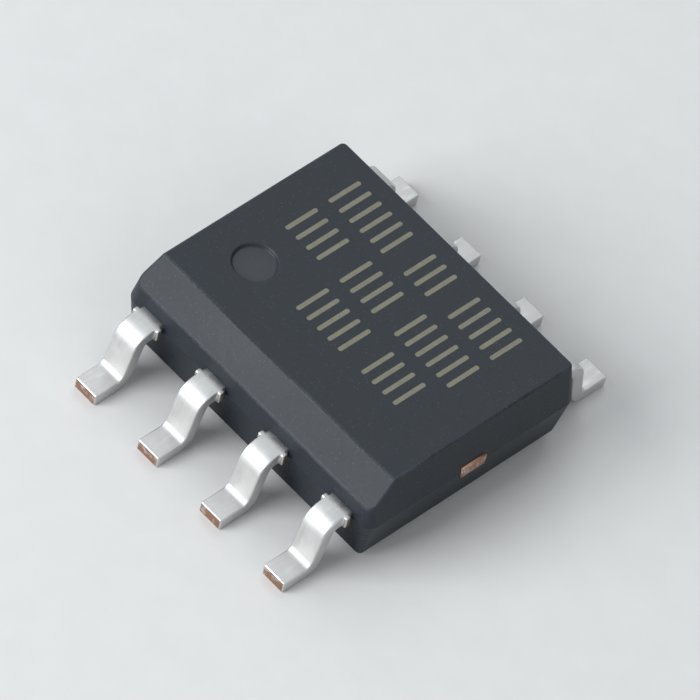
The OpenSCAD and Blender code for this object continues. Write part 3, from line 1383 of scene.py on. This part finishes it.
@dataclass(frozen=True)
class SoftBox:
    """A square soft light that faces the chip."""

    name: str
    direction: Triple
    distance: float
    size: float
    power: float
    tint: Colour = (1.0, 1.0, 1.0)

    def build(self, target: Vector) -> None:
        """Sets the light up.

        Args:
            target: The point that the light faces.
        """
        lamp = bpy.data.lights.new(self.name, "AREA")
        lamp.shape = "SQUARE"
        lamp.size = self.size
        lamp.energy = self.power
        lamp.color = self.tint
        made = bpy.data.objects.new(self.name, lamp)
        way = Vector(self.direction).normalized()
        made.location = target + way * self.distance
        made.rotation_mode = "QUATERNION"
        made.rotation_quaternion = way.to_track_quat("Z", "Y")
        bpy.context.scene.collection.objects.link(made)


@dataclass
class Studio:
    """The floor, the lights and the camera."""

    finishes: Finishes
    azimuth: float = math.radians(35.3)
    elevation: float = math.radians(51.4)
    roll: float = math.radians(15.5)
    lens: float = 600.0
    fill: float = 0.84
    nearest: float = 0.01
    farthest: float = 10.0
    floor_half: float = 0.2
    room_tint: Colour = (0.90, 0.95, 1.0)
    room_strength: float = 0.45
    lights: tuple[SoftBox, ...] = (
        SoftBox("back_softbox", (-0.36, 0.51, 0.78), distance=0.10, size=0.075, power=0.034, tint=COOL),
        SoftBox("front_softbox", (-0.36, -0.78, 0.51), distance=0.10, size=0.07, power=0.135, tint=COOL),
        SoftBox("right_fill", (0.85, -0.10, 0.60), distance=0.12, size=0.10, power=0.022),
    )

    def build(self) -> None:
        """Sets the studio up round the chip."""
        low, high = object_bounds()
        self.lay_floor()
        for light in self.lights:
            light.build((low + high) / 2)
        self.light_room()
        self.set_camera(low, high)
        bpy.context.scene.view_settings.view_transform = "Standard"

    def lay_floor(self) -> None:
        """Lays the pale floor."""
        shape = bmesh.new()
        bmesh.ops.create_grid(shape, x_segments=1, y_segments=1, size=self.floor_half)
        mesh = bpy.data.meshes.new("studio_floor")
        shape.to_mesh(mesh)
        shape.free()
        mesh.materials.append(self.finishes.paper)
        floor = bpy.data.objects.new("studio_floor", mesh)
        bpy.context.scene.collection.objects.link(floor)
        floor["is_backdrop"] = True

    def light_room(self) -> None:
        """Fills the room with weak even light."""
        world = bpy.data.worlds.new("studio_room")
        world.use_nodes = True
        background = world.node_tree.nodes["Background"]
        background.inputs["Color"].default_value = (*self.room_tint, 1.0)
        background.inputs["Strength"].default_value = self.room_strength
        bpy.context.scene.world = world

    def view_way(self) -> Vector:
        """Gives the way from the chip to the camera.

        Returns:
            A vector of length one.
        """
        level = math.cos(self.elevation)
        right, back = math.sin(self.azimuth) * level, math.cos(self.azimuth) * level
        return Vector((right, -back, math.sin(self.elevation)))

    def set_camera(self, low: Vector, high: Vector) -> None:
        """Aims the camera as the photo's was and fills the frame with the chip.

        Args:
            low: The chip's lowest corner.
            high: The chip's highest corner.
        """
        back = self.view_way()
        turn = back.to_track_quat("Z", "Y") @ Quaternion((0.0, 0.0, 1.0), self.roll)
        right, up = turn @ Vector((1.0, 0.0, 0.0)), turn @ Vector((0.0, 1.0, 0.0))
        corners = [Vector(corner) for corner in itertools.product(*zip(low, high))]
        spans = [[corner.dot(axis) for corner in corners] for axis in (right, up)]
        widest = max(max(span) - min(span) for span in spans)
        aim = sum((axis * (max(span) + min(span)) / 2 for axis, span in zip((right, up), spans)), Vector())
        lens = bpy.data.cameras.new("photo_camera")
        lens.lens = self.lens
        distance = widest / self.fill * lens.lens / lens.sensor_width
        lens.clip_start = distance * self.nearest
        lens.clip_end = distance * self.farthest
        camera = bpy.data.objects.new("photo_camera", lens)
        camera.location = aim + back * (distance + ((low + high) / 2).dot(back))
        camera.rotation_mode = "QUATERNION"
        camera.rotation_quaternion = turn
        bpy.context.scene.collection.objects.link(camera)
        bpy.context.scene.camera = camera


def main() -> None:
    """Builds the chip's pieces in order, reports each one, and sets the studio up round them."""
    logging.basicConfig(level=logging.INFO, format="%(name)s: %(message)s")
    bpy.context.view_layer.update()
    finishes = Finishes()
    package = Package.from_frame()
    parts: list[ModelledPart] = [
        MouldedBody(package, finishes),
        *(FormedLead(package, finishes, pin) for pin in range(1, package.pins + 1)),
        FormedDiePad(package, finishes),
        LaserMarking(package, finishes),
    ]
    for part in parts:
        made = part.build()
        LOG.info("%s: %d faces", made.name, len(made.data.polygons))
    for inner in InnerParts(frame["nodes"], finishes).dress():
        LOG.info("%s: %s", inner.name, inner.data.materials[0].name)
    Studio(finishes).build()


if __name__ == "__main__":
    main()
